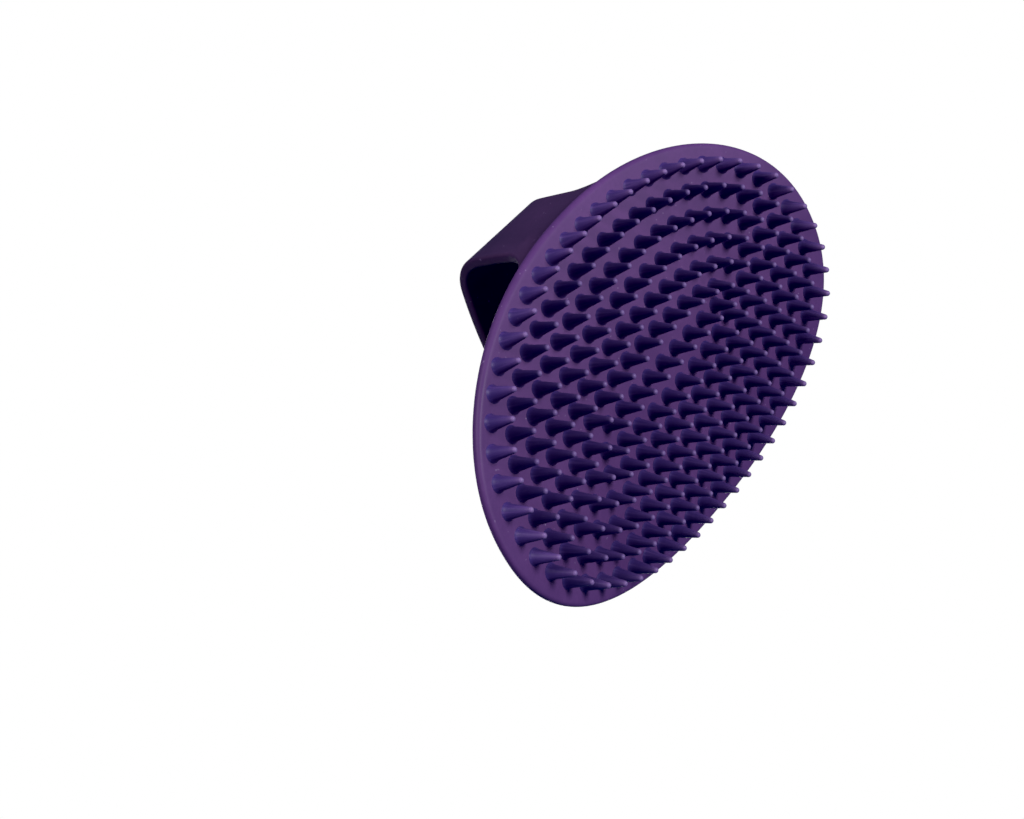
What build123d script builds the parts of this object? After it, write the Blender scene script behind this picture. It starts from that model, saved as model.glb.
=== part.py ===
"""Oval palm-held rubber curry comb: toothed pad with a two-part button strap across its back.

Frame: X along the pad, Y across it, Z up. The comb stands on its tooth tips with the strap on top.
The origin is at the middle of the pad, at the height of the lowest tooth tips. Units are millimetres.
"""
from build123d import *
import math
import os

os.makedirs("parts", exist_ok=True)

# Tooth field: nested rings of teeth round a short straight row
RING_HALF_LENGTH = 60.0      # outer ring of teeth, along X
RING_HALF_WIDTH = 38.2       # outer ring of teeth, along Y
RING_POWER = 2.22            # superellipse exponent of every ring
RING_EGG = 0.03              # the +X end of a ring is this fraction wider than a true oval
RING_STEP_X = 5.86           # from one ring to the next, at the ends
RING_STEP_Y = 6.12           # from one ring to the next, at the long sides
RING_COUNTS = [52, 46, 40, 34, 28, 22]
STAGGER = 0.25               # teeth on the long sides sit this part of a pitch towards +X
ROW_COUNT = 9
ROW_PITCH = 5.9
ROW_CENTRE_X = 1.6
FIELD_X = -0.3               # middle of the tooth field, from the middle of the pad
FIELD_Y = -1.1

# One tooth
TOOTH_HEIGHT = 7.0           # from the pad to the end of the tip
TOOTH_ROOT_RADIUS = 1.95
TOOTH_TIP_RADIUS = 0.7
TOOTH_ROOT_DEPTH = 0.8       # how far the root is set into the pad

# Pad: a saddle, its ends turned down and its long sides turned up
PAD_HALF_LENGTH = 66.15
PAD_HALF_WIDTH = 43.95
PAD_POWER = 2.13             # superellipse exponent of the rim
PAD_EGG = 0.064              # the +X end of the rim is this fraction wider than a true oval
PAD_THICKNESS = 2.4
BEND_RADIUS_X = 400.0        # along X, centre of curvature below the pad
BEND_RADIUS_Y = 222.0        # along Y, centre of curvature above the pad
OUTLINE_POINTS = 40

# Strap
STRAP_WIDTH = 27.0
STRAP_THICKNESS = 2.5
STRAP_GAP = 0.3              # clearance between moving rubber pieces
STRAP_FLARE_RADIUS = 8.0     # concave corner where the strap widens into the pad
STRAP_CORNER_RADIUS = 6.0    # free end of the stud half
TAB_CORNER_RADIUS = 11.0     # free end of the tab
HOLE_LIFT = STRAP_THICKNESS + STRAP_GAP  # the hole half lies this far above the stud half
ROOT_Y = 41.95               # middle of the strap's thickness where it leaves the pad
ROOT_DEPTH = 1.2             # how far the strap root is set into the pad
ROOT_HEIGHT = 3.2            # from the pad's back to the flex line
ROOT_LEAN = 3.0              # degrees inwards
STRAP_INSET = 0.4            # from the pad's rim to the strap root's outer face, at least
HAND_HEIGHT = 33.0           # from the pad's back to the strap's underside, in the middle
CROWN_RADIUS = 112.0         # stud half, middle of its thickness
CROWN_START = 73.0           # degrees of turn, from upright, where the crown arc starts
STUD_STRAP_END_Y = -15.0
TAB_START_Y = -19.0
TAB_END_Y = 24.0
SHOULDER_CLEAR_Y = 27.0      # beyond this the strap halves are left at full width

# Studs and button holes, spaced along Y; the studs sit in the last two holes
HOLE_PITCH = 9.0
HOLE_COUNT = 4
STUD_COUNT = 2
LAST_HOLE_Y = 14.0
HOLE_RADIUS = 2.6
STUD_NECK_RADIUS = 2.0
STUD_HEAD_RADIUS = 3.4
STUD_HEAD_HEIGHT = 1.8
STUD_RIM_HEIGHT = 0.7        # upright edge below the head's dome
STUD_ROOT_DEPTH = 0.6

hole_positions = [LAST_HOLE_Y - i * HOLE_PITCH for i in range(HOLE_COUNT)]
stud_positions = hole_positions[:STUD_COUNT]


def oval_point(half_length, half_width, power, egg, angle):
    """Point of an egg-shaped superellipse at a polar parameter, in radians."""
    cosine, sine = math.cos(angle), math.sin(angle)
    reach = (abs(cosine) ** power + abs(sine) ** power) ** (-1.0 / power)
    x = half_length * reach * cosine
    y = half_width * reach * sine * (1.0 + egg * reach * cosine)
    return x, y


def evenly_spaced(half_length, half_width, fractions):
    """Points of a ring's oval at the given fractions of its length, from the +X end towards -Y."""
    steps = 1440
    angles = [-2.0 * math.pi * i / steps for i in range(steps + 1)]
    points = [oval_point(half_length, half_width, RING_POWER, RING_EGG, angle) for angle in angles]
    run = [0.0]
    for start, end in zip(points, points[1:]):
        run.append(run[-1] + math.dist(start, end))
    places = []
    for fraction in fractions:
        target = (fraction % 1.0) * run[-1]
        index = max(i for i in range(steps) if run[i] <= target)
        part = (target - run[index]) / (run[index + 1] - run[index])
        start, end = points[index], points[index + 1]
        places.append((start[0] + part * (end[0] - start[0]), start[1] + part * (end[1] - start[1])))
    return places


def face_height(x, y):
    """Height of the pad's toothed face above its middle point."""
    across = BEND_RADIUS_Y - math.sqrt(BEND_RADIUS_Y ** 2 - y ** 2)
    along_radius = BEND_RADIUS_X + across
    return math.sqrt(along_radius ** 2 - x ** 2) - BEND_RADIUS_X


def face_normal(x, y):
    """Unit normal of the toothed face, pointing down out of the rubber."""
    step = 0.01
    slope_x = (face_height(x + step, y) - face_height(x - step, y)) / (2 * step)
    slope_y = (face_height(x, y + step) - face_height(x, y - step)) / (2 * step)
    return Vector(slope_x, slope_y, -1.0).normalized()


def ring_places(level, count):
    """Positions of one ring's teeth, on the pad's plan."""
    half_length = RING_HALF_LENGTH - level * RING_STEP_X
    half_width = RING_HALF_WIDTH - level * RING_STEP_Y
    fractions = []
    for i in range(count):
        turn = i / count
        fractions.append(turn - STAGGER / count * math.sin(2 * math.pi * turn))
    return [(FIELD_X + x, FIELD_Y + y) for x, y in evenly_spaced(half_length, half_width, fractions)]


def row_places():
    """Positions of the straight middle row's teeth."""
    first = FIELD_X + ROW_CENTRE_X - ROW_PITCH * (ROW_COUNT - 1) / 2
    return [(first + i * ROW_PITCH, FIELD_Y) for i in range(ROW_COUNT)]


# Height of the toothed face's middle, so that the lowest tip touches Z = 0
tooth_fields = {f"tooth_ring_{level + 1}": ring_places(level, count) for level, count in enumerate(RING_COUNTS)}
tooth_fields["tooth_row_middle"] = row_places()
tip_centre_height = TOOTH_HEIGHT - TOOTH_TIP_RADIUS
lowest = min(
    face_height(x, y) + face_normal(x, y).Z * tip_centre_height - TOOTH_TIP_RADIUS
    for places in tooth_fields.values()
    for x, y in places
)
FACE_Z = -lowest
BACK_Z = FACE_Z + PAD_THICKNESS


def outline_prism(inset):
    """Upright prism of the pad's oval outline, drawn in by inset."""
    length = PAD_HALF_LENGTH - inset
    width = PAD_HALF_WIDTH - inset
    angles = [2 * math.pi * i / OUTLINE_POINTS for i in range(OUTLINE_POINTS)]
    outline = Spline(*[oval_point(length, width, PAD_POWER, PAD_EGG, angle) for angle in angles], periodic=True)
    return extrude(make_face(outline), amount=60.0)


def pad():
    """Saddle-shaped slab cut to the oval outline."""
    half_span = 60.0
    section = Plane(origin=(0, 0, FACE_Z), x_dir=(0, 1, 0), z_dir=(1, 0, 0))
    with BuildPart() as slab:
        with BuildSketch(section):
            with BuildLine():
                sag_low = BEND_RADIUS_Y - math.sqrt(BEND_RADIUS_Y ** 2 - half_span ** 2)
                back_radius = BEND_RADIUS_Y - PAD_THICKNESS
                sag_high = BEND_RADIUS_Y - math.sqrt(back_radius ** 2 - half_span ** 2)
                face = ThreePointArc((-half_span, sag_low), (0, 0), (half_span, sag_low))
                back = ThreePointArc((-half_span, sag_high), (0, PAD_THICKNESS), (half_span, sag_high))
                Line(face @ 0, back @ 0)
                Line(face @ 1, back @ 1)
            make_face()
        bend_axis = Axis((0, 0, FACE_Z - BEND_RADIUS_X), (0, 1, 0))
        sector = 2 * math.degrees(math.asin(90.0 / BEND_RADIUS_X))
        revolve(axis=bend_axis, revolution_arc=sector)
    turned = slab.part.rotate(bend_axis, -sector / 2)
    return common(turned, outline_prism(0.0))


def tooth():
    """One tapered tooth with a round tip, root at the origin, pointing along +Z."""
    drop = TOOTH_ROOT_RADIUS - TOOTH_TIP_RADIUS
    tilt = math.asin(drop / math.hypot(drop, tip_centre_height))
    shoulder = (TOOTH_TIP_RADIUS * math.cos(tilt), tip_centre_height + TOOTH_TIP_RADIUS * math.sin(tilt))
    middle = math.pi / 4 + tilt / 2
    crest = (TOOTH_TIP_RADIUS * math.cos(middle), tip_centre_height + TOOTH_TIP_RADIUS * math.sin(middle))
    top = (0, tip_centre_height + TOOTH_TIP_RADIUS)
    with BuildPart() as solid:
        with BuildSketch(Plane.XZ):
            with BuildLine():
                Line((0, -TOOTH_ROOT_DEPTH), (TOOTH_ROOT_RADIUS, -TOOTH_ROOT_DEPTH))
                Line((TOOTH_ROOT_RADIUS, -TOOTH_ROOT_DEPTH), shoulder)
                ThreePointArc(shoulder, crest, top)
                Line(top, (0, -TOOTH_ROOT_DEPTH))
            make_face()
        revolve(axis=Axis.Z)
    return solid.part.solid()


def tooth_group(places):
    """Teeth standing square to the pad's curved face, as separate solids."""
    pattern = tooth()
    teeth = []
    for x, y in places:
        foot = Vector(x, y, FACE_Z + face_height(x, y))
        teeth.append(Plane(origin=foot, z_dir=face_normal(x, y)).location * pattern)
    return Compound(children=teeth)


def common(first, second):
    """The one solid that two bodies share."""
    return (first & second).solid()


def strap_path(lift):
    """Straight length and shoulder radius of one strap half whose crown is raised by lift."""
    lean = math.radians(ROOT_LEAN)
    start = math.radians(CROWN_START)
    crown = CROWN_RADIUS + lift
    across = ROOT_Y - crown * math.cos(start)
    crown_height = HAND_HEIGHT + STRAP_THICKNESS / 2 + lift
    climb = BACK_Z + crown_height - root_foot_z() - crown * (1 - math.sin(start))
    width = math.cos(lean) - math.cos(start)
    rise = math.sin(start) - math.sin(lean)
    determinant = width * math.cos(lean) - rise * math.sin(lean)
    shoulder = (across * math.cos(lean) - climb * math.sin(lean)) / determinant
    straight = (climb - shoulder * rise) / math.cos(lean)
    return straight, shoulder, crown


def root_foot_z():
    """Height of the pad's back where the strap leaves it."""
    return BACK_Z + face_height(0, ROOT_Y)


def strap_blank(side, lift, end_y):
    """Constant-thickness bent bar from inside the pad to end_y past the crown; side is -1 or +1."""
    straight, shoulder, crown = strap_path(lift)
    lean = math.radians(ROOT_LEAN)
    foot = Vector(side * ROOT_Y, root_foot_z())
    inward = -side
    heading = (inward * math.sin(lean), math.cos(lean))
    start = foot - Vector(heading[0], heading[1]) * ROOT_DEPTH
    crown_turn = 90.0 - CROWN_START + math.degrees(math.asin(abs(end_y) / crown))
    with BuildPart() as bar:
        with BuildSketch(Plane.YZ):
            with BuildLine() as centre:
                first = Line(start, foot + Vector(heading[0], heading[1]) * straight)
                bend = JernArc(first @ 1, first % 1, shoulder, side * (CROWN_START - ROOT_LEAN))
                JernArc(bend @ 1, bend % 1, crown, side * crown_turn)
            trace(centre.line, line_width=STRAP_THICKNESS)
        extrude(amount=STRAP_WIDTH / 2 + STRAP_FLARE_RADIUS, both=True)
    return bar.part


def strap_front():
    """Front outline of the strap: straight sides that widen into the pad with concave corners."""
    half = STRAP_WIDTH / 2
    foot_z = root_foot_z()
    cut_in = STRAP_FLARE_RADIUS * (1 - math.sqrt(0.5))
    middle_x = half + cut_in
    middle_z = foot_z + cut_in
    with BuildPart() as front:
        with BuildSketch(Plane.XZ):
            with BuildLine():
                left_foot = (-half - STRAP_FLARE_RADIUS, foot_z)
                right_foot = (half + STRAP_FLARE_RADIUS, foot_z)
                left_side = (-half, foot_z + STRAP_FLARE_RADIUS)
                right_side = (half, foot_z + STRAP_FLARE_RADIUS)
                top_z = foot_z + 60.0
                low_z = foot_z - 4.0
                ThreePointArc(left_foot, (-middle_x, middle_z), left_side)
                Line(left_side, (-half, top_z))
                Line((-half, top_z), (half, top_z))
                Line((half, top_z), right_side)
                ThreePointArc(right_side, (middle_x, middle_z), right_foot)
                Line(right_foot, (right_foot[0], low_z))
                Line((right_foot[0], low_z), (left_foot[0], low_z))
                Line((left_foot[0], low_z), left_foot)
            make_face()
        extrude(amount=60.0, both=True)
    return front.part


def flex_plane(side, offset):
    """Plane across the strap at the flex line, raised by offset along the strap."""
    lean = math.radians(ROOT_LEAN)
    heading = Vector(0, -side * math.sin(lean), math.cos(lean))
    foot = Vector(0, side * ROOT_Y, root_foot_z())
    return Plane(origin=foot + heading * (ROOT_HEIGHT + offset), x_dir=(1, 0, 0), z_dir=heading)


def crown_plane(position_y, crown, height):
    """Plane square to the crown arc at a Y position, height above the middle of the thickness."""
    centre_z = BACK_Z + HAND_HEIGHT + STRAP_THICKNESS / 2 - CROWN_RADIUS
    tilt = math.asin(position_y / crown)
    outward = Vector(0, math.sin(tilt), math.cos(tilt))
    return Plane(origin=Vector(0, 0, centre_z) + outward * (crown + height), x_dir=(1, 0, 0), z_dir=outward)


def crown_cut(position_y, crown):
    """Plane across the crown at a Y position, its normal pointing along the strap towards +Y."""
    square = crown_plane(position_y, crown, 0.0)
    return Plane(origin=square.origin, x_dir=(1, 0, 0), z_dir=square.z_dir.cross(Vector(1, 0, 0)))


def rounded_end(end_y, corner, side):
    """Upright prism that covers a strap half and rounds the corners of its free end."""
    length = 120.0
    with BuildPart() as prism:
        with BuildSketch(Plane.XY):
            with Locations((0, end_y + side * length / 2)):
                RectangleRounded(STRAP_WIDTH, length, corner)
            with Locations((0, side * (SHOULDER_CLEAR_Y + length / 2))):
                Rectangle(2 * STRAP_WIDTH, length)
        extrude(amount=120.0)
    return prism.part


def button_hole(position_y):
    """Cutter for one button hole, square to the tab."""
    plane = crown_plane(position_y, CROWN_RADIUS + HOLE_LIFT, -STRAP_THICKNESS)
    return plane.location * Cylinder(HOLE_RADIUS, 2 * STRAP_THICKNESS, align=(Align.CENTER, Align.CENTER, Align.MIN))


def hole_half():
    """Root, free length and tab of the half with the button holes, from the -Y side."""
    bar = common(common(strap_blank(-1, HOLE_LIFT, TAB_END_Y), strap_front()), outline_prism(STRAP_INSET))
    crown = CROWN_RADIUS + HOLE_LIFT
    root = split(bar, bisect_by=flex_plane(-1, 0.0), keep=Keep.BOTTOM)
    free = split(bar, bisect_by=flex_plane(-1, STRAP_GAP), keep=Keep.TOP)
    strap = split(free, bisect_by=crown_cut(TAB_START_Y, crown), keep=Keep.BOTTOM)
    tab_face = crown_cut(TAB_START_Y, crown).offset(STRAP_GAP)
    tab = split(free, bisect_by=tab_face, keep=Keep.TOP)
    tab = common(tab, rounded_end(TAB_END_Y, TAB_CORNER_RADIUS, -1))
    for position_y in hole_positions:
        tab = (tab - button_hole(position_y)).solid()
    return root, strap, tab


def stud_half():
    """Root and free length of the half with the studs, from the +Y side."""
    bar = common(common(strap_blank(1, 0.0, STUD_STRAP_END_Y), strap_front()), outline_prism(STRAP_INSET))
    root = split(bar, bisect_by=flex_plane(1, 0.0), keep=Keep.BOTTOM)
    strap = split(bar, bisect_by=flex_plane(1, STRAP_GAP), keep=Keep.TOP)
    strap = common(strap, rounded_end(STUD_STRAP_END_Y, STRAP_CORNER_RADIUS, 1))
    return root, strap


def stud():
    """One mushroom-headed stud, its foot at the strap's outer face, pointing along +Z."""
    neck_top = 2 * STRAP_GAP + STRAP_THICKNESS
    top = neck_top + STUD_HEAD_HEIGHT
    rim_height = neck_top + STUD_RIM_HEIGHT
    crown_height = STUD_HEAD_HEIGHT - STUD_RIM_HEIGHT
    dome = (STUD_HEAD_RADIUS ** 2 + crown_height ** 2) / (2 * crown_height)
    half_turn = math.asin(STUD_HEAD_RADIUS / dome) / 2
    crest = (dome * math.sin(half_turn), top - dome * (1 - math.cos(half_turn)))
    with BuildPart() as solid:
        with BuildSketch(Plane.XZ):
            with BuildLine():
                Polyline((0, top), (0, -STUD_ROOT_DEPTH), (STUD_NECK_RADIUS, -STUD_ROOT_DEPTH),
                         (STUD_NECK_RADIUS, neck_top), (STUD_HEAD_RADIUS, neck_top), (STUD_HEAD_RADIUS, rim_height))
                ThreePointArc((STUD_HEAD_RADIUS, rim_height), crest, (0, top))
            make_face()
        revolve(axis=Axis.Z)
    return solid.part.solid()


def studs():
    """The studs on the stud half, as separate solids."""
    pattern = stud()
    planes = [crown_plane(y, CROWN_RADIUS, STRAP_THICKNESS / 2) for y in stud_positions]
    return Compound(children=[plane.location * pattern for plane in planes])


def export(name, shape):
    """Write one sub-part."""
    shape.label = name
    export_step(shape, f"parts/{name}.step")


hole_root, hole_strap, tab = hole_half()
stud_root, stud_strap = stud_half()

export("pad", pad())
for name, places in tooth_fields.items():
    export(name, tooth_group(places))
export("hole_strap_root", hole_root)
export("hole_strap", hole_strap)
export("strap_tab", tab)
export("stud_strap_root", stud_root)
export("stud_strap", stud_strap)
export("strap_studs", studs())

# Places that the record states, in millimetres
lean = math.radians(ROOT_LEAN)
for side, label in ((-1, "hole strap"), (1, "stud strap")):
    outward = Vector(0, side * math.cos(lean), math.sin(lean))
    print(label, "flex axis", flex_plane(side, 0.0).origin + outward * (STRAP_THICKNESS / 2))
peel = crown_plane(TAB_START_Y, CROWN_RADIUS + HOLE_LIFT, STRAP_THICKNESS / 2)
print("tab flex axis", peel.origin)
for position_y in hole_positions:
    hole = crown_plane(position_y, CROWN_RADIUS + HOLE_LIFT, 0.0)
    print("hole", hole.origin, hole.z_dir)
print("toothed face at the middle", FACE_Z, "back", BACK_Z, "strap foot", root_foot_z())
print("straight, shoulder, crown", strap_path(0.0), strap_path(HOLE_LIFT))
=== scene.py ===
"""Looks of the rubber curry comb: pad, teeth and button strap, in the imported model's frame."""
import math
import random

import bmesh
import bpy
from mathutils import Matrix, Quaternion, Vector

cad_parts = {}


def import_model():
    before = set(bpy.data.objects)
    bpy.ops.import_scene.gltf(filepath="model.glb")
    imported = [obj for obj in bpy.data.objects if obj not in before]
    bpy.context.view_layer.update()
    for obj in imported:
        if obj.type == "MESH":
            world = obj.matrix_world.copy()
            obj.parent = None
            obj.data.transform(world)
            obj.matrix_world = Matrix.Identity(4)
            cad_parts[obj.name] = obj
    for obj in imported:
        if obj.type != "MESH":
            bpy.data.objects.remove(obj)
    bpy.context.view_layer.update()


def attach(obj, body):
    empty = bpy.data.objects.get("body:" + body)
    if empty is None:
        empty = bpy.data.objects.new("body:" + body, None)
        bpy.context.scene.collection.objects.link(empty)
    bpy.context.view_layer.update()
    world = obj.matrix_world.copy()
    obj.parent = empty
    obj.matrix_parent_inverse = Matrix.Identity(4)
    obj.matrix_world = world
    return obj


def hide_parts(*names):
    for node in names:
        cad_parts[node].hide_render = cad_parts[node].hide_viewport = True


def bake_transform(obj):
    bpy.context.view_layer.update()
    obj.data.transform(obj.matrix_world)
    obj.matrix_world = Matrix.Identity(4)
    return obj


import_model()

# The lengths below are in millimetres, as in the CAD source; MM turns them into metres.
MM = 0.001

# Tooth field
RING_HALF_LENGTH = 60.0
RING_HALF_WIDTH = 38.2
RING_POWER = 2.22
RING_EGG = 0.03
RING_STEP_X = 5.86
RING_STEP_Y = 6.12
RING_COUNTS = [52, 46, 40, 34, 28, 22]
RING_SAMPLES = 1440          # straight runs that a ring's length is measured along
STAGGER = 0.25
ROW_COUNT = 9
ROW_PITCH = 5.9
ROW_CENTRE_X = 1.6
FIELD_X = -0.3
FIELD_Y = -1.1

# One tooth
TOOTH_HEIGHT = 7.0
TOOTH_FOOT_RADIUS = 1.8
TOOTH_TIP_RADIUS = 0.7
TOOTH_FLARE = 0.3            # how far the foot spreads where it runs into the pad
TOOTH_FLARE_HEIGHT = 0.35    # height over which the flare dies away
TOOTH_LEVELS = (-0.5, 0.0, 0.12, 0.3, 0.6, 1.0, 1.6, 2.4, 3.3, 4.3, 5.3)
TOOTH_TIP_STEPS = 5
TOOTH_SIDES = 20
TOOTH_LEAN = 0.8             # degrees, the most that a tooth strays from square
TOOTH_GROWTH = (0.985, 0.998)  # shortest and longest tooth, as a share of the full height

# Pad
PAD_HALF_LENGTH = 66.15
PAD_HALF_WIDTH = 43.95
PAD_POWER = 2.13
PAD_EGG = 0.064              # the +X end of the rim is this fraction wider than a true oval
PAD_THICKNESS = 2.4
RIM_RADIUS = 1.1
BEND_RADIUS_X = 400.0
BEND_RADIUS_Y = 222.0
FACE_Z = 11.496              # height of the toothed face's middle
SLOPE_STEP = 0.01            # distance over which the face's slope is measured
PAD_SIDES = 240
PAD_LOOPS = 14               # loops of faces from each side's middle to its outermost flat ring
RIM_STEPS = 6

# Strap
STRAP_WIDTH = 27.0
STRAP_THICKNESS = 2.5
STRAP_EDGE_RADIUS = 0.7
STRAP_FLARE_RADIUS = 8.0
STRAP_CORNER_RADIUS = 6.0
TAB_CORNER_RADIUS = 11.0
HOLE_LIFT = 2.8              # height of the button-hole half's middle line over the stud half's
ROOT_Y = 41.95
ROOT_DEPTH = 1.2
ROOT_LEAN = 3.0
ROOT_FILLET = 2.0
FOOT_CUTS = [0.0, 0.12, 0.25, 0.75, 1.1, 1.9]  # extra cuts across the strap, where it bends most
FOOT_BLEND = 14.0            # run over which the foot stops following the pad
FOOT_STEPS = 12
END_STEPS = 16
HAND_HEIGHT = 33.0
CROWN_RADIUS = 112.0
CROWN_START = 73.0
STUD_STRAP_END_Y = -15.0
TAB_END_Y = 24.0
SPLIT_RUN = 10.0             # the button-hole half is two pieces that meet in its straight stretch

# Studs and holes
HOLE_PITCH = 9.0
HOLE_COUNT = 4
STUD_COUNT = 2
LAST_HOLE_Y = 14.0
HOLE_RADIUS = 2.6
STUD_NECK_RADIUS = 2.0
STUD_HEAD_RADIUS = 3.4
STUD_HEAD_HEIGHT = 1.8
STUD_NECK_HEIGHT = 3.1
STUD_RIM_RADIUS = 0.45
STUD_SIDES = 40
HOLE_SIDES = 40

# Camera
CAMERA_PLACE = (-199.5, -143.3, -208.2)
CAMERA_AIM = (-42.9, -21.2, 11.5)
CAMERA_ROLL = 89.6
CAMERA_LENS = 48.97
SENSOR_WIDTH = 36.0

# Rubber colours, in sRGB from 0 to 255
PAD_COLOURS = (70, 42, 89), (84, 52, 102)
# The strap: purple rubber painted darker than the pad, as shade
STRAP_PAINTED_SHADE_COLOURS = (48, 29, 56), (62, 39, 72)
# Teeth: painted darker and bluer than the pad as shade; the ramp below paints shade at each
# tooth's feet and a lilac highlight at its tips
TOOTH_COLOURS = (46, 32, 86), (59, 41, 99)
TOOTH_PAINTED_SHADE_TO_LIGHT = [(0.0, (50, 36, 93)), (0.4, (60, 42, 97)), (0.75, (76, 54, 107)),
               (0.9, (98, 73, 121)), (0.98, (119, 94, 139))]  # by share of the tooth's height
STREAK_COLOUR = (84, 62, 118)
DUST_COLOUR = (150, 132, 166)

# Rubber texture: scales are per metre, distances in metres
BLOTCH_SCALE = 60.0
BLOTCH_RANGE = (0.3, 0.7)
BLOTCH_DEPTH = 0.0006
GRAIN_SCALE = 900.0
GRAIN_RANGE = (0.3, 0.7)
GRAIN_SHARE = 0.35
GRAIN_DEPTH = 0.00004
SPECK_SCALE = 1300.0
SPECK_RANGE = (0.82, 0.88)
SPECK_SHARE = 0.3
# Share of the painted shade and highlight ramp in the teeth's colour
PAINTED_SHADE_TO_LIGHT_SHARE = 0.8
STREAK_STRETCH = (14.0, 0.8, 0.0)  # noise cells round each tooth and along it
STREAK_RANGE = (0.48, 0.7)
STREAK_SHARE = 0.55

# Stage and light
FLOOR_HALF = 11000.0
FLOOR_COLOUR = (0.42, 0.41, 0.38, 1)
FLOOR_GLOW_COLOUR = (1.0, 0.99, 0.97, 1)
FLOOR_GLOW_REACH = (0.2, 2.5)  # metres from the comb between which the floor's glow rises
FLOOR_GLOW = (0.46, 1.0)
FILL_COLOUR = (0.2, 0.34, 1.0, 1)
FILL_STRENGTH = 0.265
LIGHT_AIM = (0, 0, 0.02)
STRIP_COLOUR = (1.0, 0.88, 0.9)
BLACK_LEVEL = 0.0038         # linear light shown as black

back_z = FACE_Z + PAD_THICKNESS
hole_positions = [LAST_HOLE_Y - i * HOLE_PITCH for i in range(HOLE_COUNT)]


# ---- Shape of the pad and the tooth field ----

def oval_point(half_length, half_width, power, egg, angle):
    """Point of an egg-shaped superellipse at a polar parameter, in radians."""
    cosine, sine = math.cos(angle), math.sin(angle)
    reach = (abs(cosine) ** power + abs(sine) ** power) ** (-1.0 / power)
    x = half_length * reach * cosine
    y = half_width * reach * sine * (1.0 + egg * reach * cosine)
    return x, y


def evenly_spaced(half_length, half_width, fractions):
    """Points of a ring's oval at the given fractions of its length, from the +X end towards -Y."""
    steps = RING_SAMPLES
    angles = [-2.0 * math.pi * i / steps for i in range(steps + 1)]
    points = [oval_point(half_length, half_width, RING_POWER, RING_EGG, angle)
              for angle in angles]
    run = [0.0]
    for start, end in zip(points, points[1:]):
        run.append(run[-1] + math.dist(start, end))
    places = []
    for fraction in fractions:
        target = (fraction % 1.0) * run[-1]
        index = max(i for i in range(steps) if run[i] <= target)
        part = (target - run[index]) / (run[index + 1] - run[index])
        start, end = points[index], points[index + 1]
        places.append(tuple(a + part * (b - a) for a, b in zip(start, end)))
    return places


def ring_places(level, count):
    """Positions of one ring's teeth, on the pad's plan."""
    half_length = RING_HALF_LENGTH - level * RING_STEP_X
    half_width = RING_HALF_WIDTH - level * RING_STEP_Y
    turns = [i / count for i in range(count)]
    fractions = [turn - STAGGER / count * math.sin(2 * math.pi * turn) for turn in turns]
    points = evenly_spaced(half_length, half_width, fractions)
    return [(FIELD_X + x, FIELD_Y + y) for x, y in points]


def row_places():
    """Positions of the straight middle row's teeth."""
    first = FIELD_X + ROW_CENTRE_X - ROW_PITCH * (ROW_COUNT - 1) / 2
    return [(first + i * ROW_PITCH, FIELD_Y) for i in range(ROW_COUNT)]


def saddle_z(x, y, depth):
    """Height of the saddle that lies depth above the toothed face."""
    across = BEND_RADIUS_Y - math.sqrt((BEND_RADIUS_Y - depth) ** 2 - y ** 2)
    return FACE_Z + math.sqrt((BEND_RADIUS_X + across) ** 2 - x ** 2) - BEND_RADIUS_X


def face_normal(x, y):
    """Unit normal of the toothed face, pointing down out of the rubber."""
    step = SLOPE_STEP
    slope_x = (saddle_z(x + step, y, 0) - saddle_z(x - step, y, 0)) / (2 * step)
    slope_y = (saddle_z(x, y + step, 0) - saddle_z(x, y - step, 0)) / (2 * step)
    return Vector((slope_x, slope_y, -1.0)).normalized()


def rim_y(x):
    """Half width of the pad's outline at x."""
    reach = abs(x) / PAD_HALF_LENGTH
    oval = PAD_HALF_WIDTH * (1.0 - reach ** PAD_POWER) ** (1.0 / PAD_POWER)
    return oval * (1.0 + PAD_EGG * x / PAD_HALF_LENGTH)


# ---- Mesh helpers ----

def finish_mesh(name, mesh_bm, smooth=True):
    """Object in the scene from a bmesh whose coordinates are millimetres."""
    bmesh.ops.recalc_face_normals(mesh_bm, faces=mesh_bm.faces)
    mesh = bpy.data.meshes.new(name)
    mesh_bm.to_mesh(mesh)
    mesh_bm.free()
    for vertex in mesh.vertices:
        vertex.co *= MM
    for polygon in mesh.polygons:
        polygon.use_smooth = smooth
    piece = bpy.data.objects.new(name, mesh)
    bpy.context.scene.collection.objects.link(piece)
    return piece


def skin(mesh_bm, loops):
    """Quads between successive closed loops of vertices with the same number of points."""
    for lower, upper in zip(loops, loops[1:]):
        count = len(lower)
        for i in range(count):
            j = (i + 1) % count
            mesh_bm.faces.new((lower[i], lower[j], upper[j], upper[i]))


def cap(mesh_bm, loop, middle):
    """Triangles between a closed loop and the vertex in its middle."""
    for i, vertex in enumerate(loop):
        mesh_bm.faces.new((vertex, loop[(i + 1) % len(loop)], middle))


# ---- Pad ----

def pad_profile():
    """(inset from the rim, height above the face), from the toothed face round to the back."""
    corner = [math.pi / 2 * i / RIM_STEPS for i in range(RIM_STEPS + 1)]
    inner = [RIM_RADIUS * (1 + 0.35 * i + 0.045 * i * i) for i in range(1, 10)]
    face = [(inset, 0.0) for inset in reversed(inner)]
    low = [(RIM_RADIUS * (1 - math.sin(a)), RIM_RADIUS * (1 - math.cos(a))) for a in corner]
    high = [(inset, PAD_THICKNESS - height) for inset, height in reversed(low)]
    back = [(inset, PAD_THICKNESS) for inset in inner]
    return face + low + high + back


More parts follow.
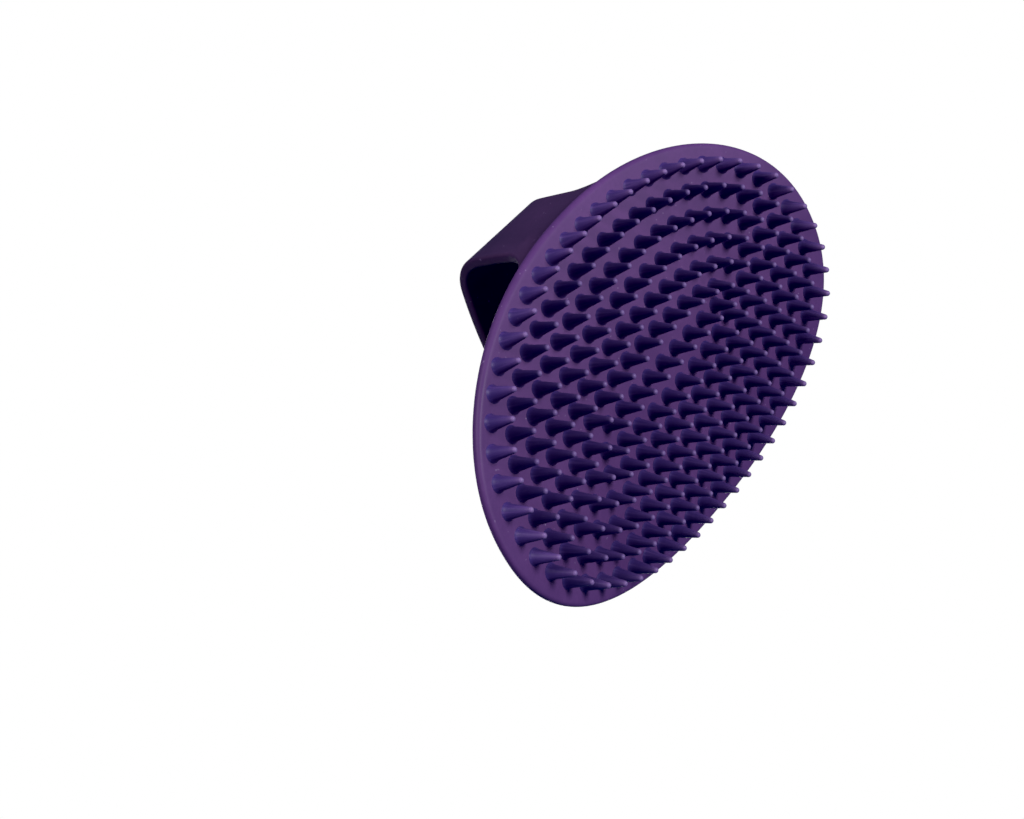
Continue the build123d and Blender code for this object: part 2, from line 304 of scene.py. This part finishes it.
def pad():
    """Saddle-shaped sheet with a rounded rim."""
    profile = pad_profile()
    angles = [2 * math.pi * i / PAD_SIDES for i in range(PAD_SIDES)]
    mesh_bm = bmesh.new()

    def loop(inset, depth, shrink):
        length, width = PAD_HALF_LENGTH - inset, PAD_HALF_WIDTH - inset
        points = [oval_point(length, width, PAD_POWER, PAD_EGG, angle) for angle in angles]
        places = [(x * shrink, y * shrink) for x, y in points]
        return [mesh_bm.verts.new((x, y, saddle_z(x, y, depth))) for x, y in places]

    deepest = profile[0][0]
    shrinks = [i / PAD_LOOPS for i in range(1, PAD_LOOPS)]
    loops = [loop(deepest, 0.0, shrink) for shrink in shrinks]
    loops += [loop(inset, depth, 1.0) for inset, depth in profile]
    loops += [loop(deepest, PAD_THICKNESS, shrink) for shrink in reversed(shrinks)]
    skin(mesh_bm, loops)
    for end, depth in ((loops[0], 0.0), (loops[-1], PAD_THICKNESS)):
        cap(mesh_bm, end, mesh_bm.verts.new((0, 0, saddle_z(0, 0, depth))))
    return finish_mesh("pad_sheet", mesh_bm)


# ---- Teeth ----

def tooth_profile():
    """(radius, height above the pad) of a tooth from its foot to its tip's last ring."""
    tip_centre = TOOTH_HEIGHT - TOOTH_TIP_RADIUS
    profile = []
    for height in TOOTH_LEVELS:
        above = max(height, 0.0)
        taper = TOOTH_FOOT_RADIUS - TOOTH_TIP_RADIUS
        radius = TOOTH_TIP_RADIUS + taper * (1 - above / tip_centre)
        profile.append((radius + TOOTH_FLARE * math.exp(-above / TOOTH_FLARE_HEIGHT), height))
    for i in range(TOOTH_TIP_STEPS):
        angle = math.pi / 2 * i / TOOTH_TIP_STEPS
        rise = TOOTH_TIP_RADIUS * math.sin(angle)
        profile.append((TOOTH_TIP_RADIUS * math.cos(angle), tip_centre + rise))
    return profile


def teeth(name, places, seed):
    """One ring of teeth as one piece, each standing nearly square to the pad."""
    chance = random.Random(seed)
    profile = tooth_profile()
    mesh_bm = bmesh.new()
    around = mesh_bm.loops.layers.uv.new("tooth")
    for index, (x, y) in enumerate(places):
        normal = face_normal(x, y)
        foot = Vector((x, y, saddle_z(x, y, 0)))
        lean_axis = normal.orthogonal().normalized()
        lean_axis.rotate(Quaternion(normal, chance.uniform(0, 2 * math.pi)))
        direction = normal.copy()
        lean = math.radians(chance.uniform(0, TOOTH_LEAN))
        direction.rotate(Quaternion(lean_axis, lean))
        first = direction.orthogonal().normalized()
        second = direction.cross(first)
        grow = chance.uniform(*TOOTH_GROWTH)
        loops = []
        for radius, height in profile:
            ring = []
            for i in range(TOOTH_SIDES):
                angle = 2 * math.pi * i / TOOTH_SIDES
                spoke = first * math.cos(angle) + second * math.sin(angle)
                ring.append(mesh_bm.verts.new(foot + direction * height * grow + spoke * radius))
            loops.append(ring)
        top = mesh_bm.verts.new(foot + direction * TOOTH_HEIGHT * grow)
        heights = [height / TOOTH_HEIGHT for radius, height in profile] + [1.0]
        for level in range(len(profile)):
            for i in range(TOOTH_SIDES):
                j = (i + 1) % TOOTH_SIDES
                low = loops[level]
                corners = [(low[i], i, level), (low[j], i + 1, level)]
                if level + 1 < len(profile):
                    high = loops[level + 1]
                    corners += [(high[j], i + 1, level + 1), (high[i], i, level + 1)]
                else:
                    corners += [(top, i + 0.5, level + 1)]
                face = mesh_bm.faces.new([corner[0] for corner in corners])
                for corner, (vertex, turn, step) in zip(face.loops, corners):
                    corner[around].uv = (index + turn / TOOTH_SIDES, heights[step])
    return finish_mesh(name, mesh_bm)


# ---- Strap ----

def heading(side, angle):
    """Direction along a strap half whose middle line has turned by angle from upright."""
    return Vector((0, -side * math.sin(angle), math.cos(angle)))


def outward(side, angle):
    """Direction out of a strap half's outer face at the same turn."""
    return Vector((0, side * math.cos(angle), math.sin(angle)))


def strap_line(lift):
    """Straight length, shoulder radius and crown radius of a strap half's middle line."""
    lean, start = math.radians(ROOT_LEAN), math.radians(CROWN_START)
    crown = CROWN_RADIUS + lift
    across = ROOT_Y - crown * math.cos(start)
    top = back_z + HAND_HEIGHT + STRAP_THICKNESS / 2 + lift
    climb = top - foot_z() - crown * (1 - math.sin(start))
    width = math.cos(lean) - math.cos(start)
    rise = math.sin(start) - math.sin(lean)
    wanted = across * math.cos(lean) - climb * math.sin(lean)
    shoulder = wanted / (width * math.cos(lean) - rise * math.sin(lean))
    straight = (climb - shoulder * rise) / math.cos(lean)
    return straight, shoulder, crown


def foot_z():
    """Height at which the strap leaves the pad."""
    return back_z + saddle_z(0, ROOT_Y, 0) - FACE_Z


def strap_place(side, lift, run):
    """(point, turn) of a strap half's middle line at a run from its foot."""
    lean, start = math.radians(ROOT_LEAN), math.radians(CROWN_START)
    straight, shoulder, crown = strap_line(lift)
    foot = Vector((0, side * ROOT_Y, foot_z()))
    if run < straight:
        return foot + heading(side, lean) * run, lean
    shoulder_centre = foot + heading(side, lean) * straight - outward(side, lean) * shoulder
    turn = lean + (run - straight) / shoulder
    if turn < start:
        return shoulder_centre + outward(side, turn) * shoulder, turn
    crown_centre = shoulder_centre - outward(side, start) * (crown - shoulder)
    turn = start + (run - straight - shoulder * (start - lean)) / crown
    return crown_centre + outward(side, turn) * crown, turn


def run_at(side, lift, y):
    """Run at which the crown's middle line reaches y."""
    straight, shoulder, crown = strap_line(lift)
    lean, start = math.radians(ROOT_LEAN), math.radians(CROWN_START)
    turn = math.acos(side * y / crown)
    return straight + shoulder * (start - lean) + crown * (turn - start)


def strap_outline(end_run, corner):
    """Outline of a flat strap half, x along it: flared at the foot and round at the end."""
    half, flare = STRAP_WIDTH / 2, STRAP_FLARE_RADIUS
    side = [(-ROOT_DEPTH, half + flare)]
    for i in range(FOOT_STEPS + 1):
        angle = math.pi / 2 * i / FOOT_STEPS
        side.append((flare - flare * math.cos(angle), half + flare - flare * math.sin(angle)))
    for i in range(END_STEPS + 1):
        angle = math.pi / 2 * i / END_STEPS
        along, across = corner * math.sin(angle), corner * math.cos(angle)
        side.append((end_run - corner + along, half - corner + across))
    return side + [(x, -y) for x, y in reversed(side)]


def hole_outline(run):
    """Outline of the button hole at a run along the strap."""
    angles = [2 * math.pi * i / HOLE_SIDES for i in range(HOLE_SIDES)]
    return [(run + HOLE_RADIUS * math.cos(angle), HOLE_RADIUS * math.sin(angle))
            for angle in angles]


def flat_plate(outline, holes):
    """Flat plate with rounded edges, as a bmesh in millimetres."""
    curve = bpy.data.curves.new("plate", "CURVE")
    curve.dimensions = "2D"
    curve.fill_mode = "BOTH"
    curve.extrude = STRAP_THICKNESS / 2 - STRAP_EDGE_RADIUS
    curve.bevel_depth = STRAP_EDGE_RADIUS
    curve.bevel_resolution = 3
    curve.offset = -STRAP_EDGE_RADIUS
    for points in [outline, *holes]:
        spline = curve.splines.new("POLY")
        spline.points.add(len(points) - 1)
        spline.use_cyclic_u = True
        for point, (x, y) in zip(spline.points, points):
            point.co = (x, y, 0, 1)
    holder = bpy.data.objects.new("plate", curve)
    bpy.context.scene.collection.objects.link(holder)
    graph = bpy.context.evaluated_depsgraph_get()
    mesh = bpy.data.meshes.new_from_object(holder.evaluated_get(graph))
    mesh_bm = bmesh.new()
    mesh_bm.from_mesh(mesh)
    bmesh.ops.remove_doubles(mesh_bm, verts=mesh_bm.verts, dist=0.001)
    bpy.data.objects.remove(holder)
    bpy.data.curves.remove(curve)
    bpy.data.meshes.remove(mesh)
    return mesh_bm


def cut_across(mesh_bm, run, keep=0):
    """Cut the flat plate across at a run; keep -1 or 1 drops the far or the near part."""
    everything = mesh_bm.verts[:] + mesh_bm.edges[:] + mesh_bm.faces[:]
    bmesh.ops.bisect_plane(mesh_bm, geom=everything, plane_co=(run, 0, 0), plane_no=(1, 0, 0),
                           dist=0.0001, clear_outer=keep < 0, clear_inner=keep > 0)


def wrap(mesh_bm, side, lift):
    """Bend the flat plate along a strap half, its foot following the pad's rim and back."""
    for vertex in mesh_bm.verts:
        run, across, out = vertex.co
        near_foot = max(0.0, 1.0 - max(run, 0.0) / ROOT_FILLET)
        fillet = ROOT_FILLET * (1 - math.sqrt(1 - near_foot ** 2))
        if out < 0:
            out -= fillet * (-out / (STRAP_THICKNESS / 2))
        point, turn = strap_place(side, lift, run)
        fade = max(0.0, 1.0 - max(run, 0.0) / FOOT_BLEND) ** 2
        pull_in = (rim_y(0) - rim_y(across)) * fade
        drop = (saddle_z(0, ROOT_Y, 0) - saddle_z(across, ROOT_Y - pull_in, 0)) * fade
        vertex.co = point + outward(side, turn) * out + Vector((across, -side * pull_in, -drop))


def strap_piece(name, side, lift, outline, holes, start_run, end_run):
    """One bent piece of a strap half between two runs."""
    mesh_bm = flat_plate(outline, holes)
    steps = int(max(x for x, y in outline)) + 2
    for run in FOOT_CUTS + [step + 0.5 for step in range(steps)]:
        cut_across(mesh_bm, run)
    if start_run is not None:
        cut_across(mesh_bm, start_run, keep=1)
    if end_run is not None:
        cut_across(mesh_bm, end_run, keep=-1)
    wrap(mesh_bm, side, lift)
    piece = finish_mesh(name, mesh_bm)
    weighted = piece.modifiers.new("even_shading", "WEIGHTED_NORMAL")
    weighted.keep_sharp = False
    return piece


def stud_profile():
    """(radius, height) of a stud from inside the strap to the ring next to its crown."""
    neck, radius, edge = STUD_NECK_HEIGHT, STUD_NECK_RADIUS, STUD_RIM_RADIUS
    rim = neck + edge
    profile = [(radius + 0.5, -0.4), (radius + 0.35, 0.0), (radius + 0.1, 0.15)]
    profile += [(radius, 0.5), (radius, neck - 0.2), (radius + 0.2, neck)]
    for i in range(7):
        angle = -math.pi / 2 + math.pi / 2 * i / 6
        out = STUD_HEAD_RADIUS - edge + edge * math.cos(angle)
        profile.append((out, rim + edge * math.sin(angle)))
    for i in range(1, 9):
        angle = math.pi / 2 * i / 9
        rise = (STUD_HEAD_HEIGHT - edge) * math.sin(angle)
        profile.append((STUD_HEAD_RADIUS * math.cos(angle), rim + rise))
    return profile


def studs():
    """The mushroom-headed studs of the stud half, as one piece."""
    angles = [2 * math.pi * i / STUD_SIDES for i in range(STUD_SIDES)]
    mesh_bm = bmesh.new()
    for y in hole_positions[:STUD_COUNT]:
        point, turn = strap_place(1, 0.0, run_at(1, 0.0, y))
        direction = outward(1, turn)
        across = Vector((1, 0, 0))
        along = direction.cross(across)
        foot = point + direction * STRAP_THICKNESS / 2
        spokes = [across * math.cos(angle) + along * math.sin(angle) for angle in angles]
        loops = []
        for radius, height in stud_profile():
            middle = foot + direction * height
            loops.append([mesh_bm.verts.new(middle + spoke * radius) for spoke in spokes])
        skin(mesh_bm, loops)
        top = foot + direction * (STUD_NECK_HEIGHT + STUD_HEAD_HEIGHT)
        cap(mesh_bm, loops[-1], mesh_bm.verts.new(top))
    return finish_mesh("stud_heads", mesh_bm)


# ---- Materials ----

class Nodes:
    """Short forms for building a node material."""

    def __init__(self, name):
        self.material = bpy.data.materials.new(name)
        self.material.use_nodes = True
        self.tree = self.material.node_tree
        self.shader = self.tree.nodes["Principled BSDF"]

    def add(self, kind, settings=None, **inputs):
        """New node; inputs are values or output sockets, spaces in their names written as _."""
        node = self.tree.nodes.new(kind)
        for key, value in (settings or {}).items():
            setattr(node, key, value)
        for key, value in inputs.items():
            self.feed(node.inputs[key.replace("_", " ")], value)
        return node

    def feed(self, socket, value):
        """Set a socket's value, or link it."""
        if isinstance(value, bpy.types.NodeSocket):
            self.tree.links.new(value, socket)
        else:
            socket.default_value = value

    def noise(self, coordinates, scale, detail):
        """Factor of a noise texture."""
        return self.add("ShaderNodeTexNoise", Vector=coordinates, Scale=scale, Detail=detail,
                        Roughness=0.55).outputs["Fac"]

    def ramp(self, factor, stops):
        """Colour ramp; stops are (position, colour)."""
        node = self.add("ShaderNodeValToRGB", Fac=factor)
        elements = node.color_ramp.elements
        while len(elements) < len(stops):
            elements.new(0.5)
        for element, (position, colour) in zip(elements, stops):
            element.position = position
            element.color = (*colour, 1.0)
        return node.outputs["Color"]

    def mix(self, factor, first, second):
        """Mix of two colours."""
        node = self.tree.nodes.new("ShaderNodeMix")
        node.data_type = "RGBA"
        self.feed(node.inputs["Factor"], factor)
        self.feed(node.inputs["A"], first if not isinstance(first, tuple) else (*first, 1.0))
        self.feed(node.inputs["B"], second if not isinstance(second, tuple) else (*second, 1.0))
        return node.outputs["Result"]

    def spread(self, factor, low, high, new_low, new_high):
        """A factor's range from low to high, mapped to a new one."""
        node = self.tree.nodes.new("ShaderNodeMapRange")
        for socket, value in zip(node.inputs, (factor, low, high, new_low, new_high)):
            self.feed(socket, value)
        return node.outputs["Result"]

    def bump(self, height, distance, strength, under=None):
        """Bump normal, over another if given."""
        node = self.add("ShaderNodeBump", Height=height, Distance=distance, Strength=strength)
        if under is not None:
            self.feed(node.inputs["Normal"], under)
        return node.outputs["Normal"]


def srgb(red, green, blue):
    """Linear colour of an sRGB triple from 0 to 255."""
    def linear(value):
        value /= 255.0
        return value / 12.92 if value <= 0.04045 else ((value + 0.055) / 1.055) ** 2.4
    return linear(red), linear(green), linear(blue)


def rubber(name, colours, roughness, gloss):
    """Satin moulded rubber between two colours: soft blotches, fine grain, faint dust specks."""
    dark, light = (srgb(*colour) for colour in colours)
    nodes = Nodes(name)
    place = nodes.add("ShaderNodeTexCoord").outputs["Object"]
    blotches = nodes.noise(place, BLOTCH_SCALE, 3.0)
    grain = nodes.noise(place, GRAIN_SCALE, 2.0)
    specks = nodes.noise(place, SPECK_SCALE, 0.0)
    colour = nodes.ramp(blotches, list(zip(BLOTCH_RANGE, (dark, light))))
    colour = nodes.mix(nodes.spread(grain, *GRAIN_RANGE, 0.0, GRAIN_SHARE), colour, dark)
    dusty = nodes.spread(specks, *SPECK_RANGE, 0.0, SPECK_SHARE)
    colour = nodes.mix(dusty, colour, srgb(*DUST_COLOUR))
    nodes.feed(nodes.shader.inputs["Base Color"], colour)
    rough = nodes.spread(blotches, *BLOTCH_RANGE, roughness - 0.05, roughness + 0.06)
    nodes.feed(nodes.shader.inputs["Roughness"], rough)
    soft = nodes.bump(blotches, BLOTCH_DEPTH, 0.25)
    nodes.feed(nodes.shader.inputs["Normal"], nodes.bump(grain, GRAIN_DEPTH, 0.5, soft))
    nodes.shader.inputs["Specular IOR Level"].default_value = gloss
    return nodes


def pad_rubber():
    """Plum rubber of the pad."""
    return rubber("pad_rubber_purple", PAD_COLOURS, roughness=0.58, gloss=0.2).material


def strap_rubber():
    """The strap's rubber, painted darker than the pad's as shade."""
    return rubber("strap_rubber_painted_shade", STRAP_PAINTED_SHADE_COLOURS, roughness=0.6, gloss=0.22).material


def tooth_rubber():
    """Tooth rubber: darker, bluer violet than the pad's as painted shade, shade painted at the
    feet and a lilac highlight painted at the tips, with faint streaks along each tooth.
    """
    nodes = rubber("tooth_rubber_painted_shade_and_light", TOOTH_COLOURS, roughness=0.5, gloss=0.25)
    coordinates = nodes.add("ShaderNodeUVMap", {"uv_map": "tooth"}).outputs["UV"]
    split = nodes.add("ShaderNodeSeparateXYZ", Vector=coordinates)
    height = split.outputs["Y"]
    painted_shade_to_light = nodes.ramp(height, [(share, srgb(*colour)) for share, colour in TOOTH_PAINTED_SHADE_TO_LIGHT])
    base = nodes.shader.inputs["Base Color"].links[0].from_socket
    colour = nodes.mix(PAINTED_SHADE_TO_LIGHT_SHARE, base, painted_shade_to_light)
    stretch = nodes.add("ShaderNodeVectorMath", {"operation": "MULTIPLY"})
    nodes.feed(stretch.inputs[0], coordinates)
    nodes.feed(stretch.inputs[1], STREAK_STRETCH)
    streaks = nodes.noise(stretch.outputs["Vector"], 1.0, 2.0)
    streaky = nodes.spread(streaks, *STREAK_RANGE, 0.0, STREAK_SHARE)
    colour = nodes.mix(streaky, colour, srgb(*STREAK_COLOUR))
    nodes.feed(nodes.shader.inputs["Base Color"], colour)
    return nodes.material


# ---- Stage ----

def floor():
    """Pale floor at the tooth tips, seen only from above, blocking no light, brighter far off."""
    size = FLOOR_HALF
    mesh_bm = bmesh.new()
    corners = [(-size, -size), (size, -size), (size, size), (-size, size)]
    mesh_bm.faces.new([mesh_bm.verts.new((x, y, 0)) for x, y in corners])
    mesh_bm.normal_update()
    plane = finish_mesh("floor", mesh_bm, smooth=False)
    nodes = Nodes("floor_pale")
    nodes.shader.inputs["Base Color"].default_value = FLOOR_COLOUR
    nodes.shader.inputs["Roughness"].default_value = 0.8
    nodes.shader.inputs["Emission Color"].default_value = FLOOR_GLOW_COLOUR
    place = nodes.add("ShaderNodeTexCoord").outputs["Object"]
    distance = nodes.add("ShaderNodeVectorMath", {"operation": "LENGTH"})
    nodes.feed(distance.inputs[0], place)
    glow = nodes.spread(distance.outputs["Value"], *FLOOR_GLOW_REACH, *FLOOR_GLOW)
    nodes.feed(nodes.shader.inputs["Emission Strength"], glow)
    clear = nodes.add("ShaderNodeBsdfTransparent")
    below = nodes.add("ShaderNodeNewGeometry").outputs["Backfacing"]
    switch = nodes.add("ShaderNodeMixShader")
    nodes.feed(switch.inputs[0], below)
    nodes.feed(switch.inputs[1], nodes.shader.outputs["BSDF"])
    nodes.feed(switch.inputs[2], clear.outputs["BSDF"])
    nodes.feed(nodes.tree.nodes["Material Output"].inputs["Surface"], switch.outputs["Shader"])
    plane.data.materials.append(nodes.material)
    plane.visible_shadow = False
    plane.visible_diffuse = False
    plane.visible_glossy = False


def world():
    """White backdrop that lights the comb with a dim blue fill."""
    setting = bpy.data.worlds.new("studio")
    setting.use_nodes = True
    bpy.context.scene.world = setting
    tree = setting.node_tree
    shown = tree.nodes["Background"]
    shown.inputs["Color"].default_value = (1, 1, 1, 1)
    shown.inputs["Strength"].default_value = 1.0
    fill = tree.nodes.new("ShaderNodeBackground")
    fill.inputs["Color"].default_value = FILL_COLOUR
    fill.inputs["Strength"].default_value = FILL_STRENGTH
    path = tree.nodes.new("ShaderNodeLightPath")
    switch = tree.nodes.new("ShaderNodeMixShader")
    tree.links.new(path.outputs["Is Camera Ray"], switch.inputs[0])
    tree.links.new(fill.outputs[0], switch.inputs[1])
    tree.links.new(shown.outputs[0], switch.inputs[2])
    tree.links.new(switch.outputs[0], tree.nodes["World Output"].inputs["Surface"])


def camera():
    """Camera below floor level, looking up at the toothed face from its -X, -Y side."""
    data = bpy.data.cameras.new("camera")
    data.lens = CAMERA_LENS
    data.sensor_width = SENSOR_WIDTH
    holder = bpy.data.objects.new("camera", data)
    bpy.context.scene.collection.objects.link(holder)
    place, aim = Vector(CAMERA_PLACE) * MM, Vector(CAMERA_AIM) * MM
    look = (aim - place).normalized()
    holder.rotation_mode = "QUATERNION"
    roll = Quaternion(look, math.radians(CAMERA_ROLL))
    holder.rotation_quaternion = roll @ look.to_track_quat("-Z", "Y")
    holder.location = place
    data.clip_start, data.clip_end = 0.01, 20.0
    bpy.context.scene.camera = holder
    return holder


def softbox(name, direction, distance, width, height, power, colour=(1, 1, 1), only=()):
    """Rectangular area light facing the comb; it lights only the objects given, if any are."""
    data = bpy.data.lights.new(name, "AREA")
    data.shape = "RECTANGLE"
    data.size = width
    data.size_y = height
    data.energy = power
    data.color = colour
    holder = bpy.data.objects.new(name, data)
    bpy.context.scene.collection.objects.link(holder)
    centre = Vector(LIGHT_AIM)
    holder.location = centre + Vector(direction).normalized() * distance
    holder.rotation_mode = "QUATERNION"
    holder.rotation_quaternion = (centre - holder.location).to_track_quat("-Z", "Y")
    if only:
        lit = bpy.data.collections.new(name + "_receivers")
        for receiver in only:
            lit.objects.link(receiver)
        holder.light_linking.receiver_collection = lit


def lights(view, outer):
    """Key at the camera's upper right, soft light above the floor, low strip at its upper left.

    The key and the strip are below floor level. The strip lights only the outer pieces.
    """
    turn = view.rotation_quaternion.to_matrix()
    right, up, back = turn.col[0], turn.col[1], turn.col[2]
    key = right * 0.6 + up * 0.33 + back * 0.62
    softbox("key", key, distance=0.8, width=0.22, height=0.22, power=7.0)
    softbox("top", (0.4, 0.5, 1.0), distance=0.9, width=0.7, height=0.7, power=9.0)
    softbox("rim", (-0.5, -1.0, -0.16), distance=1.0, width=0.4, height=0.2, power=7.8,
            colour=STRIP_COLOUR, only=outer)


# ---- The comb ----

def dress(piece, material, slot, body, *nodes):
    """Material, record slot (not used), body and the CAD nodes that a piece stands for."""
    piece.data.materials.append(material)
    if body:
        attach(piece, body)
    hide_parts(*nodes)
    return piece


def flex(piece):
    """Bake a strap piece's transform into its mesh."""
    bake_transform(piece)


def comb():
    """Every piece of the comb; returns those that the low strip lights.

    Those are the pad, the outermost ring and the strap, without the inner teeth and the studs.
    """
    purple, violet, plum = pad_rubber(), tooth_rubber(), strap_rubber()
    outer = [dress(pad(), purple, "pad_rubber", "comb", "pad")]
    for level, count in enumerate(RING_COUNTS, start=1):
        ring = teeth(f"teeth_ring_{level}", ring_places(level - 1, count), level)
        dress(ring, violet, "tooth_rubber", "comb", f"tooth_ring_{level}")
        if level == 1:
            outer.append(ring)
    row = teeth("teeth_row_middle", row_places(), len(RING_COUNTS) + 1)
    dress(row, violet, "tooth_rubber", "comb", "tooth_row_middle")

    outline = strap_outline(run_at(-1, HOLE_LIFT, TAB_END_Y), TAB_CORNER_RADIUS)
    holes = [hole_outline(run_at(-1, HOLE_LIFT, y)) for y in hole_positions]
    lower = strap_piece("hole_half_lower", -1, HOLE_LIFT, outline, holes, None, SPLIT_RUN)
    dress(lower, plum, "strap_rubber", None, "hole_strap_root")
    flex(lower)
    upper = strap_piece("hole_half_upper", -1, HOLE_LIFT, outline, holes, SPLIT_RUN, None)
    dress(upper, plum, "strap_rubber", None, "hole_strap", "strap_tab")
    flex(upper)

    outline = strap_outline(run_at(1, 0.0, STUD_STRAP_END_Y), STRAP_CORNER_RADIUS)
    other = strap_piece("stud_half", 1, 0.0, outline, [], None, None)
    dress(other, plum, "strap_rubber", None, "stud_strap_root", "stud_strap")
    flex(other)
    dress(studs(), plum, "strap_rubber", "stud_strap", "strap_studs")
    return outer + [lower, upper, other]


display = bpy.context.scene.view_settings
display.view_transform = "Standard"
display.use_curve_mapping = True
display.curve_mapping.black_level = (BLACK_LEVEL, BLACK_LEVEL, BLACK_LEVEL)
display.curve_mapping.update()
world()
floor()
lights(camera(), comb())
